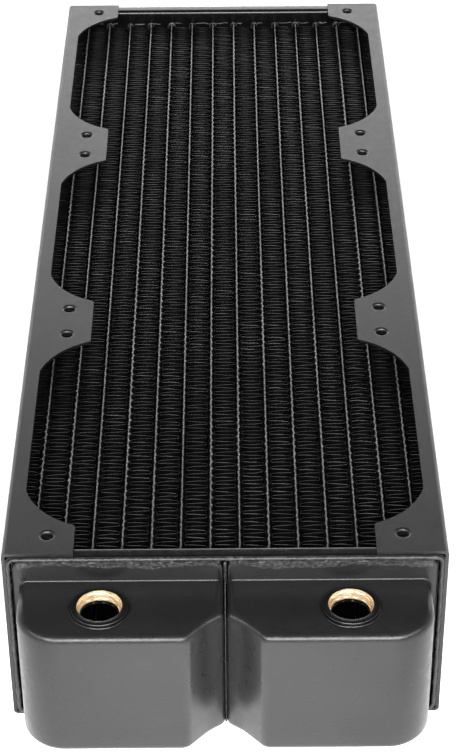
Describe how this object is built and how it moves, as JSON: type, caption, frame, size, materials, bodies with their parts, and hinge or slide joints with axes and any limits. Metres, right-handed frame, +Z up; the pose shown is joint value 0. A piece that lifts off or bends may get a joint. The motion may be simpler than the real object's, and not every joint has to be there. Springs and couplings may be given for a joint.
{
  "type": "liquid cooling radiator",
  "caption": "Long flat-tube cooling radiator in a black folded frame, with fan screw ears on both faces, twin rounded end tanks with threaded brass ports, and a return tank.",
  "frame": {"origin": "middle of the underside of the whole assembly", "axes": "+Y along the length towards the return tank, away from the ports; +X across the width; +Z up, out of the face that the ports are on"},
  "size_m": [0.131, 0.402, 0.064],
  "materials": {
    "panel_paint": "satin black powder coat with a fine grain on folded steel sheet",
    "tray_paint": "satin black powder coat over pressed and soldered brass",
    "tank_paint": "smooth satin black powder coat on pressed brass",
    "tube_paint": "thin black paint on solder-coated flat tubes, worn lighter on the edge",
    "fin_paint": "thin matt black paint on folded copper foil",
    "port_brass": "turned brass, bare in the thread and painted black on the collar"
  },
  "bodies": {
    "root": {"side_panel_left": "panel_paint", "side_panel_right": "panel_paint", "header_tray_front": "tray_paint", "header_tray_rear": "tray_paint", "inlet_tank": "tank_paint", "outlet_tank": "tank_paint", "return_tank": "tank_paint", "port_collar_left": "port_brass", "port_collar_right": "port_brass", "tube_01_upper": "tube_paint", "tube_02_upper": "tube_paint", "tube_03_upper": "tube_paint", "tube_04_upper": "tube_paint", "tube_05_upper": "tube_paint", "tube_06_upper": "tube_paint", "tube_07_upper": "tube_paint", "tube_08_upper": "tube_paint", "tube_09_upper": "tube_paint", "tube_10_upper": "tube_paint", "tube_11_upper": "tube_paint", "tube_12_upper": "tube_paint", "tube_13_upper": "tube_paint", "tube_14_upper": "tube_paint", "tube_01_lower": "tube_paint", "tube_02_lower": "tube_paint", "tube_03_lower": "tube_paint", "tube_04_lower": "tube_paint", "tube_05_lower": "tube_paint", "tube_06_lower": "tube_paint", "tube_07_lower": "tube_paint", "tube_08_lower": "tube_paint", "tube_09_lower": "tube_paint", "tube_10_lower": "tube_paint", "tube_11_lower": "tube_paint", "tube_12_lower": "tube_paint", "tube_13_lower": "tube_paint", "tube_14_lower": "tube_paint", "fin_01": "fin_paint", "fin_02": "fin_paint", "fin_03": "fin_paint", "fin_04": "fin_paint", "fin_05": "fin_paint", "fin_06": "fin_paint", "fin_07": "fin_paint", "fin_08": "fin_paint", "fin_09": "fin_paint", "fin_10": "fin_paint", "fin_11": "fin_paint", "fin_12": "fin_paint", "fin_13": "fin_paint", "fin_14": "fin_paint", "fin_15": "fin_paint"}
  },
  "joints": []
}
